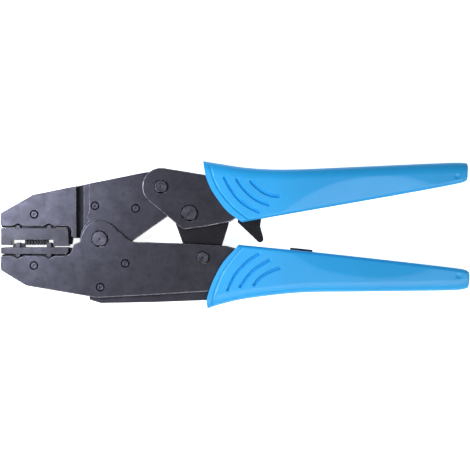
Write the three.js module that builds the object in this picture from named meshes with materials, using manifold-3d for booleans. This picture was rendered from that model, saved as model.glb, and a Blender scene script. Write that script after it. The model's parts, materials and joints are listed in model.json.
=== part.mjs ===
// Ratchet crimping tool for eight-way modular plugs.
// The tool lies flat: nose towards -X, handles towards +X, plates square to Z.
// The origin is on the main pivot's axis, at the height of the surface the tool rests on.
// Inside the tool everything is placed from the mid-plane, which the whole group lifts by MID.
import * as THREE from "three";
import { mergeVertices } from "three/addons/utils/BufferGeometryUtils.js";
import Module from "manifold-3d";

const wasm = await Module();
wasm.setup();

// ---- Driving dimensions, in millimetres ----

const MID = 8.5; // height of the mid-plane, and half the thickness of the grips
const CORE = 1.4; // half thickness of the central plate
const LINK = [1.5, 4.0]; // layer of the toggle link's plates, measured from the mid-plane
const INNER = [1.45, 2.7]; // layer of the jaw's inner plates
const SIDE = [2.75, 4.0]; // layer of the jaw's side plates
const SPACER = 4.15; // half thickness of the cores between the outer plates
const OUTER = [4.2, 6.7]; // layer of the outer plates
const CHEEK = [1.45, 6.7]; // layer of the nose cheeks

const MAIN_PIVOT = [0, 0];
const HANDLE_PIVOT = [28.7, 24.5];
const LINK_UPPER_PIVOT = [42.0, 12.1];
const LINK_LOWER_PIVOT = [48.4, -8.7];
const PAWL_PIVOT = [67.5, 22.0];

const MAIN_PIN_R = 3.65;
const HANDLE_PIN_R = 3.0;
const LINK_UPPER_PIN_R = 3.75;
const LINK_LOWER_PIN_R = 2.8;
const PAWL_PIN_R = 1.6;
const PIN_FRONT = 8.1; // how far a pivot pin reaches in front of the mid-plane
const RUNNING = 0.12; // radial clearance of a pin in the piece that turns on it
const SEATED = 0.05; // radial clearance of a pin in the piece that holds it
const LINK_EYE_PLAY = 0.8; // extra radius of the toggle link's lower eye

const RIVET_R = 1.25;
const RIVET_SINK_R = 2.1;
const DOWEL_R = 1.2;
const SMALL_SIDES = 12; // sides of a hidden pin or bore
const RIVET_SIDES = 20;
const PIN_SIDES = 32;
const ARC_STEP = 15; // degrees between the points of an arc

const NOSE_X = -46.5;
const SEAT_Y = -7.9; // top edge of the lower frame under the die
const CHEEK_Y = 6.0; // bottom edge of the upper nose over the die
const POST_X = [-38.4, -23.8]; // the nest posts, either side of the plug
const DIE = { left: -46.3, right: -14.6, half: 6.6 };
const LOWER_DIE = { bottom: -7.1, top: -3.9 };
const UPPER_DIE = { leftFoot: -3.0, rightFoot: -3.4, top: 5.1 };
const WINDOW = { left: -41.4, right: -21.7, top: -0.5 };
const BACKING = 0.1; // gap between a die and the core that backs it
const TONGUE = { left: -37, right: -21, half: 1.35, bottom: -16.8, top: 15, gap: 0.12 };
const PUNCH = { left: -35.3, right: -24.6, top: 1.6, bottom: -2.9, near: 0.8, far: 4.1, teeth: 8 };

const TOOTH = { first: 13.2, pitch: 4.6, count: 10, root: 19.5, crest: 20.5 };

const STEEL = { color: 0x4d4d5a, roughness: 0.5, metalness: 0.85 };
const DIE_STEEL = { color: 0x69697a, roughness: 0.45, metalness: 0.9 };
const DARK_STEEL = { color: 0x28272e, roughness: 0.55, metalness: 0.8 };
const PIN_STEEL = { color: 0x55545f, roughness: 0.4, metalness: 0.9 };
const SPRING_STEEL = { color: 0x8a8a8f, roughness: 0.3, metalness: 1 };
const BLUE_PLASTIC = { color: 0x3baaf0, roughness: 0.45, metalness: 0 };
const BLACK_RUBBER = { color: 0x18181a, roughness: 0.8, metalness: 0 };

// ---- Outlines ----

// The outline a taut belt makes round a chain of discs, with the solid on its left.
// A disc is [x, y, r]: r above 0 rounds an outer corner, below 0 an inner one, 0 is sharp.
function belt(discs, step = ARC_STEP) {
  const headings = discs.map(([x, y, r], i) => {
    const [nextX, nextY, nextR] = discs[(i + 1) % discs.length];
    const span = Math.hypot(nextX - x, nextY - y);
    return Math.atan2(nextY - y, nextX - x) - Math.asin((nextR - r) / span);
  });
  return discs.flatMap((disc, i) => corner(disc, headings.at(i - 1), headings[i], step));
}

// The points of one disc's arc, from the heading the belt comes in with to the one it leaves with.
function corner([x, y, r], comingIn, goingOut, step) {
  if (r === 0) return [new THREE.Vector2(x, y)];
  const side = Math.sign(r);
  let turn = Math.atan2(Math.sin(goingOut - comingIn), Math.cos(goingOut - comingIn));
  if (turn * side < 0 && Math.abs(turn) < 1) return [mitre([x, y, r], comingIn + turn / 2, turn)];
  if (turn * side < 0) turn += side * 2 * Math.PI;
  const count = Math.max(1, Math.ceil(THREE.MathUtils.radToDeg(Math.abs(turn)) / step));
  return Array.from({ length: count + 1 }, (_, k) => {
    const angle = comingIn - (side * Math.PI) / 2 + (turn * k) / count;
    return new THREE.Vector2(x + Math.abs(r) * Math.cos(angle), y + Math.abs(r) * Math.sin(angle));
  });
}

// Where two tangents meet that turn away from the disc between them.
function mitre([x, y, r], heading, turn) {
  const reach = r / Math.cos(turn / 2);
  return new THREE.Vector2(x + reach * Math.sin(heading), y - reach * Math.cos(heading));
}

function grown(discs, by) {
  return discs.map(([x, y, r]) => [x, y, r + by]);
}

function circle([x, y], r, sides = PIN_SIDES) {
  return Array.from({ length: sides }, (_, i) => {
    const angle = (2 * Math.PI * i) / sides;
    return new THREE.Vector2(x + r * Math.cos(angle), y + r * Math.sin(angle));
  });
}

function rivetHole(place) {
  return circle(place, RIVET_R, RIVET_SIDES);
}

function hiddenHole(place) {
  return circle(place, RIVET_R, SMALL_SIDES);
}

function polar([x, y], radius, degrees) {
  const angle = THREE.MathUtils.degToRad(degrees);
  return [x + radius * Math.cos(angle), y + radius * Math.sin(angle)];
}

// ---- Solids ----

function extrude(outline, low, high, holes = []) {
  const shape = new THREE.Shape(outline);
  shape.holes = holes.map((hole) => new THREE.Path([...hole].reverse()));
  const geometry = new THREE.ExtrudeGeometry(shape, { depth: high - low, bevelEnabled: false });
  return geometry.translate(0, 0, low);
}

// A body turned about the line through [x, y] along Z. Its profile is [radius, height] pairs.
function turned([x, y], profile, sides = PIN_SIDES) {
  const points = profile.map(([r, z]) => new THREE.Vector2(r, z));
  return new THREE.LatheGeometry(points, sides).rotateX(Math.PI / 2).translate(x, y, 0);
}

function box(left, bottom, low, right, top, high) {
  const geometry = new THREE.BoxGeometry(right - left, top - bottom, high - low);
  return geometry.translate((left + right) / 2, (bottom + top) / 2, (low + high) / 2);
}

function toManifold(geometry) {
  const bare = geometry.clone();
  bare.deleteAttribute("normal");
  bare.deleteAttribute("uv");
  const merged = mergeVertices(bare, 1e-4);
  return new wasm.Manifold(
    new wasm.Mesh({
      numProp: 3,
      vertProperties: new Float32Array(merged.attributes.position.array),
      triVerts: new Uint32Array(merged.index.array),
    }),
  );
}

function toGeometry(manifold) {
  const mesh = manifold.getMesh();
  const geometry = new THREE.BufferGeometry();
  geometry.setAttribute("position", new THREE.BufferAttribute(mesh.vertProperties, 3));
  geometry.setIndex(new THREE.BufferAttribute(mesh.triVerts, 1));
  geometry.computeVertexNormals();
  return geometry;
}

function cut(geometry, ...tools) {
  return toGeometry(tools.reduce((left, tool) => left.subtract(toManifold(tool)), toManifold(geometry)));
}

function join(geometry, ...others) {
  return toGeometry(others.reduce((sum, other) => sum.add(toManifold(other)), toManifold(geometry)));
}

function wire(curve, radius, steps) {
  const section = new THREE.Shape(circle([0, 0], radius, 5));
  return new THREE.ExtrudeGeometry(section, { steps, bevelEnabled: false, extrudePath: curve });
}

function piece(group, name, geometry, material) {
  const mesh = new THREE.Mesh(geometry, new THREE.MeshStandardMaterial(material));
  mesh.name = name;
  group.add(mesh);
}

// The same outline in front of the mid-plane and behind it.
function platePair(group, name, layer, outline, holes, sinks, material) {
  const [near, far] = layer;
  const front = extrude(outline, near, far, holes);
  const cutters = sinks.map((place) => countersink(place, far));
  const shaped = cutters.length ? cut(front, ...cutters) : front;
  piece(group, `${name}_front`, shaped, material);
  piece(group, `${name}_back`, mirrored(shaped), material);
}

// The geometry seen in the mid-plane as in a mirror, with its faces turned out again.
function mirrored(geometry) {
  const flat = geometry.index ? geometry.toNonIndexed() : geometry.clone();
  const position = flat.attributes.position;
  const turnedOut = new Float32Array(position.array.length);
  for (let i = 0; i < position.count; i++) {
    const from = i - (i % 3) + ((3 - (i % 3)) % 3);
    turnedOut.set([position.getX(from), position.getY(from), -position.getZ(from)], 3 * i);
  }
  const copy = new THREE.BufferGeometry();
  copy.setAttribute("position", new THREE.BufferAttribute(turnedOut, 3));
  copy.computeVertexNormals();
  return copy;
}

// ---- Pins and rivets ----

function countersink(place, surface) {
  const depth = 0.9;
  const proud = 0.01;
  const profile = [
    [0, surface - 2 * depth],
    [RIVET_R, surface - 2 * depth],
    [RIVET_R, surface - depth],
    [RIVET_SINK_R, surface + proud],
    [0, surface + proud],
  ];
  return turned(place, profile, RIVET_SIDES);
}

// A flush rivet, chamfered and with a dimple at each end.
function rivet(group, name, place, half) {
  const r = RIVET_R - SEATED;
  const chamfer = 0.15;
  const dimple = 0.45;
  const depth = 0.35;
  const end = [
    [r, half - chamfer],
    [r - chamfer, half],
    [dimple, half],
    [0, half - depth],
  ];
  const otherEnd = end.map(([radius, z]) => [radius, -z]).reverse();
  piece(group, name, turned(place, [...otherEnd, ...end], RIVET_SIDES), PIN_STEEL);
}

// The groove behind the back plate, and the ring that snaps into it.
const GROOVE = { low: -OUTER[1] - 0.9, high: -OUTER[1] - 0.05, depth: 0.5 };
const RING = { width: 1.55, gapShare: 0.35, clearance: 0.05 };
const PIN_FLAT = 0.84; // where the flat beside a pin's head lies, as a share of the radius

function pivotPin(group, name, place, r, dimple) {
  const chamfer = 0.4;
  const body = turned(place, [
    [0, -MID],
    [r - chamfer, -MID],
    [r, chamfer - MID],
    [r, GROOVE.low],
    [r - GROOVE.depth, GROOVE.low],
    [r - GROOVE.depth, GROOVE.high],
    [r, GROOVE.high],
    [r, PIN_FRONT - chamfer],
    [r - chamfer, PIN_FRONT],
    [dimple, PIN_FRONT],
    [0, PIN_FRONT - chamfer],
  ]);
  const [x, y] = place;
  const beyondFlat = box(x - r, y - 2 * r, OUTER[1], x + r, y - PIN_FLAT * r, MID);
  piece(group, name, cut(body, beyondFlat), PIN_STEEL);
}

function retainingRing(group, name, place, r) {
  const low = GROOVE.low + RING.clearance;
  const high = GROOVE.high - RING.clearance;
  const inner = r - GROOVE.depth + RING.clearance;
  const outer = inner + RING.width;
  const ring = extrude(circle(place, outer), low, high, [circle(place, inner)]);
  const [x, y] = place;
  const halfGap = RING.gapShare * r;
  const gap = box(x - halfGap, y - 2 * outer, low - 1, x + halfGap, y, high + 1);
  piece(group, name, cut(ring, gap), DARK_STEEL);
}

function pin(group, name, place, r, half) {
  piece(group, name, extrude(circle(place, r, SMALL_SIDES), -half, half), PIN_STEEL);
}

function tangPin(group, name, place, half) {
  pin(group, name, place, RIVET_R - SEATED, half);
}

// ---- Lower frame ----

// A shallow notch with a round bottom in the seat's edge, which runs towards -X.
function seatNotch(x) {
  return [[x + 2.6, SEAT_Y, 0], [x, SEAT_Y - 0.2, -1.1], [x - 2.6, SEAT_Y, 0]];
}

const LOWER_TANG = [
  [50, -24.7, 0],
  [62, -23, 0],
  [98, -17.5, 2],
  [98, -13, 2],
  [67, -5.4, 0],
  [59.5, -3.3, 0],
];
const LOWER_PLATE = [
  [NOSE_X + 1, SEAT_Y - 1, 1],
  [NOSE_X + 1.5, -13.8, 1.5],
  [-33.1, -18.1, 4],
  [-0.8, -21.6, 6],
  [24, -26.3, 0],
  ...LOWER_TANG,
  [36, -2.0, 0],
  [22, -1.6, 0],
  [17.4, 5.4, -7],
  [...MAIN_PIVOT, 8.6],
  [-10.1, -0.7, -0.9],
  [-11.4, -3.4, 1],
  [-16.6, -4.1, -3.8],
  ...seatNotch(POST_X[1]),
  ...seatNotch(POST_X[0]),
];

const LOWER_CORE_TANG = [
  [56, -28.6, 0],
  [80, -21.8, 0],
  [149, -20, 1.2],
  [149, -16, 1.2],
  [96, -12, 0],
  [62, -18, 0],
  [58, -20.6, 0],
];
const LOWER_CORE = [
  [NOSE_X + 1.2, LOWER_DIE.bottom - BACKING - 1, 1],
  [NOSE_X + 1.9, -13.7, 1.4],
  [-33.1, -18.1, 3.6],
  [-5, -26.6, 0],
  [-4.4, -28.2, 0.5],
  [0.6, -29.4, 0.8],
  [26.3, -29.2, 0.5],
  ...LOWER_CORE_TANG,
  [18, -20.6, 0],
  [15.2, -9.6, 1],
  [9, -9.6, 1],
  [...MAIN_PIVOT, -9.9],
  [-12.6, -9.4, 1],
  [-13.1, LOWER_DIE.top - 0.2, 0],
  [DIE.right + BACKING, LOWER_DIE.top - 0.2, 0],
  [DIE.right - 2, LOWER_DIE.bottom + 2, -2 - BACKING],
  [TONGUE.right + TONGUE.gap, LOWER_DIE.bottom - BACKING, 0],
  [TONGUE.right + TONGUE.gap, TONGUE.bottom - 0.5, 0],
  [TONGUE.left - TONGUE.gap, TONGUE.bottom - 0.5, 0],
  [TONGUE.left - TONGUE.gap, LOWER_DIE.bottom - BACKING, 0],
];

const LOWER_DIE_RIVET = [-30.8, -12.5];
const LOWER_RIVETS = [[0.3, -22.6], [12.0, -11.5]];
const LOWER_TANG_RIVETS = [[72, -19.5], [92, -16.5]];
const SPRING_ANCHOR = [21.5, -15.2];

function lowerFramePlates(group) {
  const rivets = [LOWER_DIE_RIVET, ...LOWER_RIVETS];
  const holes = [
    circle(MAIN_PIVOT, MAIN_PIN_R + SEATED),
    circle(LINK_LOWER_PIVOT, LINK_LOWER_PIN_R + SEATED),
    ...rivets.map(rivetHole),
    ...LOWER_TANG_RIVETS.map(hiddenHole),
  ];
  platePair(group, "lower_frame_plate", OUTER, belt(LOWER_PLATE), holes, rivets, STEEL);
}

function lowerFrameCore(group) {
  const holes = [...LOWER_RIVETS.map(rivetHole), ...LOWER_TANG_RIVETS.map(hiddenHole)];
  piece(group, "lower_frame_core", extrude(belt(LOWER_CORE), -SPACER, SPACER, holes), STEEL);
}

// The nest posts run through a die just under its front and its back, clear of the cores.
const POST = { r: 1.1, near: 4.25, far: 5.9 };
const DIE_FIT = 0.06; // clearance of a post or punch in its die

function postPair(x, bottom, top, grow = 0) {
  const outline = belt([[x, bottom + POST.r, POST.r + grow], [x, top - POST.r, POST.r + grow]], 30);
  const front = extrude(outline, POST.near - grow, POST.far + grow);
  return [front, mirrored(front)];
}

function posts(group, name, bottom, top) {
  ["left", "right"].forEach((side, i) => {
    const [front, back] = postPair(POST_X[i], bottom, top);
    piece(group, `${name}_${side}_front`, front, DIE_STEEL);
    piece(group, `${name}_${side}_back`, back, DIE_STEEL);
  });
}

const LOWER_POST = [-8.5, -1.7];
const UPPER_POST = [2.6, 6.45];

function lowerDie(group) {
  const { left, right, half } = DIE;
  const { bottom, top } = LOWER_DIE;
  const outline = belt([
    [left + 0.6, bottom + 0.6, 0.6],
    [right - 2, bottom + 2, 2],
    [right - 0.6, top - 0.6, 0.6],
    [left + 0.6, top - 0.6, 0.6],
  ]);
  const tongue = box(
    TONGUE.left, TONGUE.bottom, -TONGUE.half,
    TONGUE.right, bottom + 1, TONGUE.half,
  );
  const slots = POST_X.flatMap((x) => postPair(x, ...LOWER_POST, DIE_FIT));
  const hole = extrude(rivetHole(LOWER_DIE_RIVET), -half, half);
  piece(group, "lower_die", cut(join(extrude(outline, -half, half), tongue), hole, ...slots), DIE_STEEL);
}

// The rails beside the plug, with a ramp at the outer end.
function nestRails(group) {
  const low = LOWER_DIE.top + 0.05;
  const high = LOWER_DIE.top + 1.8;
  const half = 4;
  const left = [[-41.1, low, 0], [-35.6, low, 0], [-35.6, high, 0], [-40.2, high, 0]];
  const right = [[-24.3, low, 0], [-21.9, low, 0], [-22.3, high, 0], [-24.3, high, 0]];
  piece(group, "nest_rail_left", extrude(belt(left), -half, half), DARK_STEEL);
  piece(group, "nest_rail_right", extrude(belt(right), -half, half), DARK_STEEL);
}

// ---- Upper jaw ----

const UPPER_DIE_RIVET = [-30.7, 11.5];
const JAW_RIVETS = [[-2.4, 15.5], [16.7, 14.3]];
const NOSE_TOP = [-31.2, 20.7, 0];
const NOSE_TIP = [
  [NOSE_X + 1.2, 11.3, 1.2],
  [NOSE_X + 0.8, CHEEK_Y + 0.8, 0.8],
];
const JAW_ARM = [
  [...MAIN_PIVOT, 9.4],
  [32.1, 12.8, 1.6],
  [...HANDLE_PIVOT, 7.4],
  [20.6, 31.2, 0],
];
// The left edges of the jaw's two pairs of plates, from the top down.
const INNER_EDGE = [[-7.8, 25.5, 0], [-7.8, 5.6, 0]];
const SIDE_EDGE = [[-5.2, 26, 0], [-5.2, 12.6, 0], [-6.6, 10.6, 0], [-5.2, 8.6, 0]];

function cheekNotch(x) {
  return [[x - 2.6, CHEEK_Y, 0], [x, CHEEK_Y, -1.15], [x + 2.6, CHEEK_Y, 0]];
}

const CHEEK_REAR = -10.9;
const DIE_CORNER = [-15.2, CHEEK_Y - 2, -2]; // the round inner corner round the die
const CHEEK_OUTLINE = [
  NOSE_TOP,
  ...NOSE_TIP,
  ...cheekNotch(POST_X[0]),
  ...cheekNotch(POST_X[1]),
  DIE_CORNER,
  [-13.2, 1.3, 0],
  [-12.8, 0.9, 0],
  [CHEEK_REAR, 0.9, 0],
  [CHEEK_REAR, 24.8, 0],
];
const CORE_OUTLINE = [
  NOSE_TOP,
  NOSE_TIP[0],
  [NOSE_X + 0.8, UPPER_DIE.top + BACKING + 0.8, 0.8],
  [TONGUE.left - TONGUE.gap, UPPER_DIE.top + BACKING, 0],
  [TONGUE.left - TONGUE.gap, TONGUE.top + TONGUE.gap, 0],
  [TONGUE.right + TONGUE.gap, TONGUE.top + TONGUE.gap, 0],
  [TONGUE.right + TONGUE.gap, UPPER_DIE.top + BACKING, 0],
  [DIE.right - 1.9, UPPER_DIE.top - 1.9, -1.9 - BACKING],
  [DIE.right + BACKING, -2.6, 0],
  [-13.3, -2.6, 0],
  [-12.8, 0.4, 0],
  [-9.7, 0.3, 0],
  ...JAW_ARM,
];

function jawPlates(group) {
  const bores = [
    circle(MAIN_PIVOT, MAIN_PIN_R + RUNNING),
    circle(HANDLE_PIVOT, HANDLE_PIN_R + RUNNING),
    ...JAW_RIVETS.map(rivetHole),
  ];
  piece(group, "upper_jaw_core", extrude(belt(CORE_OUTLINE), -CORE, CORE, bores), DARK_STEEL);
  const inner = belt([...INNER_EDGE, ...JAW_ARM]);
  platePair(group, "upper_jaw_inner_plate", INNER, inner, bores, [], STEEL);
  const side = belt([...SIDE_EDGE, ...JAW_ARM]);
  platePair(group, "upper_jaw_side_plate", SIDE, side, bores, JAW_RIVETS, STEEL);
}

// The cheeks clamp the die, and have a wide bevel along their rear edge.
function cheeks(group) {
  const [near, far] = CHEEK;
  const bevel = 1.0;
  const beyond = 1;
  const section = [[-bevel, 0], [beyond, 0], [beyond, bevel + beyond]];
  const wedge = extrude(section.map(([x, z]) => new THREE.Vector2(x, z)), 0, 40);
  wedge.rotateX(Math.PI / 2).translate(CHEEK_REAR, 35, far - bevel);
  const blank = extrude(belt(CHEEK_OUTLINE), near, far, [rivetHole(UPPER_DIE_RIVET)]);
  const front = cut(blank, countersink(UPPER_DIE_RIVET, far), wedge);
  piece(group, "nose_cheek_front", front, STEEL);
  piece(group, "nose_cheek_back", mirrored(front), STEEL);
}

function upperDie(group) {
  const { left, right, half } = DIE;
  const { leftFoot, rightFoot, top } = UPPER_DIE;
  const outline = belt([
    [left + 0.5, leftFoot + 0.5, 0.5],
    [WINDOW.left, leftFoot, 0],
    [WINDOW.left, WINDOW.top, 0],
    [WINDOW.right, WINDOW.top, 0],
    [WINDOW.right, rightFoot, 0],
    [right - 0.5, rightFoot + 0.5, 0.5],
    [right - 1.9, top - 1.9, 1.9],
    [left + 0.6, top - 0.6, 0.6],
  ]);
  const tongue = box(
    TONGUE.left, top - 1, -TONGUE.half,
    TONGUE.right, TONGUE.top, TONGUE.half,
  );
  const punchSlot = punchBlock(WINDOW.top - 1, DIE_FIT);
  const slots = POST_X.flatMap((x) => postPair(x, ...UPPER_POST, DIE_FIT));
  const hole = extrude(rivetHole(UPPER_DIE_RIVET), -half, half);
  const blank = join(extrude(outline, -half, half), tongue);
  piece(group, "upper_die", cut(blank, hole, punchSlot, mirrored(punchSlot), ...slots), DIE_STEEL);
}

function punchBlock(bottom, grow = 0) {
  const { left, right, top, near, far } = PUNCH;
  return box(left - grow, bottom, near - grow, right + grow, top + grow, far + grow);
}

// The comb that drives the plug's contacts, and behind it the bar that folds its strain relief.
function punches(group) {
  const { left, right, bottom, far, teeth } = PUNCH;
  const pitch = (right - left) / teeth;
  const halfGap = 0.22;
  const gaps = Array.from({ length: teeth - 1 }, (_, i) => {
    const x = left + (i + 1) * pitch;
    return box(x - halfGap, bottom - 1, 0, x + halfGap, WINDOW.top - 0.3, far + 1);
  });
  piece(group, "contact_punch", cut(punchBlock(bottom), ...gaps), DARK_STEEL);
  piece(group, "strain_relief_bar", mirrored(punchBlock(bottom + 0.3)), DARK_STEEL);
}

// ---- Upper handle ----

const HANDLE_PLATE = [
  [...HANDLE_PIVOT, 8.8],
  [40.0, 7.1, 2.6],
  [49.2, 5.7, 0],
  [61.5, 8.1, 0],
  [67, 11.8, 0],
  [103, 21.5, 2],
  [103, 26, 2],
  [60, 27.7, 0],
  [48.8, 30.1, 0],
];
const HANDLE_CORE = [
  [86, 18, 1],
  [149, 26.8, 1.2],
  [149, 31, 1.2],
  [86, 27.6, 1],
];
const HANDLE_RIVETS = [[89, 22.6], [99, 24]];
const SPRING_POST = [75.5, 22.5];

function handlePlates(group) {
  const holes = [
    circle(HANDLE_PIVOT, HANDLE_PIN_R + SEATED),
    circle(LINK_UPPER_PIVOT, LINK_UPPER_PIN_R + SEATED),
    circle(PAWL_PIVOT, PAWL_PIN_R + SEATED, SMALL_SIDES),
    ...HANDLE_RIVETS.map(hiddenHole),
  ];
  platePair(group, "upper_handle_plate", OUTER, belt(HANDLE_PLATE), holes, [], STEEL);
  const core = extrude(belt(HANDLE_CORE), -SPACER, SPACER, HANDLE_RIVETS.map(hiddenHole));
  piece(group, "upper_handle_core", core, STEEL);
}

// ---- Toggle link and ratchet ----

const LINK_PLATE = [
  [...LINK_LOWER_PIVOT, 6.8],
  [...LINK_UPPER_PIVOT, 19.2],
  [...polar(LINK_UPPER_PIVOT, 18.4, 56), 0.9],
  [...LINK_UPPER_PIVOT, 7.8],
];
const LINK_RIVETS = [polar(LINK_UPPER_PIVOT, 14.5, 2), polar(LINK_UPPER_PIVOT, 14.5, 42)];
const LINK_SPRING_PIN = [47.2, -13.6];

function linkPlates(group) {
  const holes = [
    circle(LINK_UPPER_PIVOT, LINK_UPPER_PIN_R + RUNNING),
    circle(LINK_LOWER_PIVOT, LINK_LOWER_PIN_R + LINK_EYE_PLAY),
    ...LINK_RIVETS.map(hiddenHole),
  ];
  platePair(group, "toggle_link", LINK, belt(LINK_PLATE), holes, [], DARK_STEEL);
}

// The toothed plate between the link's plates, its teeth on an arc about the link's upper pivot.
function ratchetSector(group) {
  const { first, pitch, count, root, crest } = TOOTH;
  const teeth = Array.from({ length: count }, (_, i) => first + i * pitch).flatMap((middle) => [
    polar(LINK_UPPER_PIVOT, root, middle - 0.48 * pitch),
    polar(LINK_UPPER_PIVOT, crest, middle - 0.12 * pitch),
    polar(LINK_UPPER_PIVOT, crest, middle + 0.12 * pitch),
    polar(LINK_UPPER_PIVOT, root, middle + 0.48 * pitch),
  ]);
  const outline = [
    polar(LINK_UPPER_PIVOT, 9, -60),
    polar(LINK_UPPER_PIVOT, 18, -12),
    polar(LINK_UPPER_PIVOT, 19, 0),
    polar(LINK_UPPER_PIVOT, 19, 9),
    ...teeth,
    polar(LINK_UPPER_PIVOT, 19, 60),
    polar(LINK_UPPER_PIVOT, 16, 61),
  ].map(([x, y]) => new THREE.Vector2(x, y));
  const boss = circle(LINK_UPPER_PIVOT, 7.6);
  const blank = join(extrude(outline, -CORE, CORE), extrude(boss, -CORE, CORE));
  const bore = extrude(circle(LINK_UPPER_PIVOT, LINK_UPPER_PIN_R + RUNNING), -2, 2);
  const rivets = LINK_RIVETS.map((place) => extrude(hiddenHole(place), -2, 2));
  piece(group, "ratchet_sector", cut(blank, bore, ...rivets), DARK_STEEL);
}

// The pawl's tip rides the crests of the teeth, and its tail is the release lever.
const PAWL = [
  [...PAWL_PIVOT, 3.3],
  [...polar(LINK_UPPER_PIVOT, 21.15, 8), 0.4],
  [65.3, 13.2, 0],
  [64.6, 7.8, 0],
  [75.2, -0.05, 1.65],
  [75.3, 6, 0],
  [75.9, 10, 0],
];

function pawl(group) {
  const bore = circle(PAWL_PIVOT, PAWL_PIN_R + RUNNING, SMALL_SIDES);
  piece(group, "release_pawl", extrude(belt(PAWL), -CORE, CORE, [bore]), DARK_STEEL);
}

// ---- Springs ----

// A coil about a straight axis, its ends carried on to the two given points.
function coilCurve(centre, along, across, { r, turns, length }, ends) {
  const steps = turns * 6;
  const side = new THREE.Vector3().crossVectors(along, across);
  const coil = Array.from({ length: steps + 1 }, (_, i) => {
    const angle = (2 * Math.PI * i) / 6;
    return centre
      .clone()
      .addScaledVector(along, length * (i / steps - 0.5))
      .addScaledVector(across, r * Math.cos(angle))
      .addScaledVector(side, r * Math.sin(angle));
  });
  return new THREE.CatmullRomCurve3([ends[0], ...coil, ends[1]], false, "centripetal");
}

function returnSpring(group) {
  const start = new THREE.Vector3(SPRING_ANCHOR[0] + 1.6, SPRING_ANCHOR[1], 0);
  const end = new THREE.Vector3(LINK_SPRING_PIN[0] - 1.5, LINK_SPRING_PIN[1], 0);
  const along = end.clone().sub(start).normalize();
  const across = new THREE.Vector3(0, 0, 1);
  const middle = start.clone().lerp(end, 0.5);
  const curve = coilCurve(middle, along, across, { r: 2.2, turns: 9, length: 15 }, [start, end]);
  piece(group, "return_spring", wire(curve, 0.4, 60), SPRING_STEEL);
}

// The torsion spring round the pawl's pin, one leg on the post and the other on the pawl.
function pawlSpring(group) {
  const axis = new THREE.Vector3(0, 0, 1);
  const across = new THREE.Vector3(1, 0, 0);
  const centre = new THREE.Vector3(...PAWL_PIVOT, 2.8);
  const ends = [new THREE.Vector3(71.6, 15.6, 1.8), new THREE.Vector3(75, 24.6, 3.6)];
  const curve = coilCurve(centre, axis, across, { r: 2.3, turns: 2, length: 1.5 }, ends);
  piece(group, "pawl_spring", wire(curve, 0.3, 18), SPRING_STEEL);
}

// ---- Grips ----

const GRIP = {
  length: 115,
  innerEdge: [1.8, 1.8], // the rounding towards the other handle: its width and its depth
  outerEdge: [5.0, 3.6], // the rounding that lies in the palm
  tailRound: 1.8,
  cavityHalf: OUTER[1] + 0.15,
  coreHalf: SPACER + 0.3,
  wallGap: 0.3,
  stations: 20,
};

const UPPER_GRIP = {
  front: [[66.9, 7.7], [60.1, 12.6], [55.7, 17.9], [51.8, 24.0], [49.5, 30.2], [48.4, 36.6]],
  bottom: [[66.9, 7.7], [75.2, 9.3], [127.8, 18.5], [161.6, 24.6], [170.6, 26.6], [172.4, 28.3]],
  top: [
    [48.4, 36.6], [57.3, 35.1], [70, 33.3], [88.3, 32.6],
    [122, 33.9], [156, 35.4], [170.8, 35.7], [172.5, 34.2],
  ],
  bottomEdge: GRIP.innerEdge,
  topEdge: GRIP.outerEdge,
};
const LOWER_GRIP = {
  front: [[50.5, -32.8], [50.2, -28.5], [51.6, -23.4], [54.0, -17.7], [57.9, -10.9], [65.2, -2.8]],
  bottom: [
    [50.5, -32.8], [57.3, -30.6], [70, -27.9], [94, -25.3],
    [122.2, -24.8], [161.6, -24.3], [171.4, -23.5], [173.2, -21.8],
  ],
  top: [
    [65.2, -2.8], [77, -3.9], [99.6, -6.1], [133.4, -9.8],
    [164.5, -13.4], [171.6, -14.6], [173.3, -16.2],
  ],
  bottomEdge: GRIP.outerEdge,
  topEdge: GRIP.innerEdge,
};

function spline(points) {
  return new THREE.SplineCurve(points.map(([x, y]) => new THREE.Vector2(x, y)));
}

// A quarter of an ellipse, from a side wall up to the flat: pairs of distance across and height.
function rounding([width, depth], half, limit) {
  const across = Math.min(width, limit);
  return [0, 30, 60, 90].map((degrees) => {
    const angle = THREE.MathUtils.degToRad(degrees);
    return [across * (1 - Math.cos(angle)), half - depth + depth * Math.sin(angle)];
  });
}

// One cross-section: a loop of points from the bottom edge over the front to the top edge and back.
function gripSection(grip, along) {
  const bottom = grip.bottom.getPointAt(along);
  const top = grip.top.getPointAt(along);
  const width = bottom.distanceTo(top);
  const toTail = (1 - along) * GRIP.length;
  const half = MID - GRIP.tailRound + GRIP.tailRound * roundOff(toTail / GRIP.tailRound);
  const rise = rounding(grip.bottomEdge, half, 0.2 * width);
  const fall = rounding(grip.topEdge, half, 0.6 * width);
  const flatStart = rise.at(-1)[0];
  const flatWidth = width - flatStart - fall.at(-1)[0];
  const flat = [0.25, 0.5, 0.75].map((share) => [flatStart + share * flatWidth, half]);
  const front = [...rise, ...flat, ...fall.map(([across, z]) => [width - across, z]).reverse()];
  const back = front.map(([across, z]) => [across, -z]).reverse();
  return [...front, ...back].map(([across, z]) => onGrip(grip, bottom, top, along, across / width, z));
}

// A section's point. Sections follow the front edge's curve, less and less towards the tail.
function onGrip(grip, bottom, top, along, share, z) {
  const chord = grip.front.getPoint(0).lerp(grip.front.getPoint(1), share);
  const bow = grip.front.getPointAt(share).sub(chord).multiplyScalar((1 - along) ** 3);
  const point = bottom.clone().lerp(top, share).add(bow);
  return [point.x, point.y, z];
}

function roundOff(share) {
  return share >= 1 ? 1 : Math.sqrt(1 - (1 - share) ** 2);
}

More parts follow.
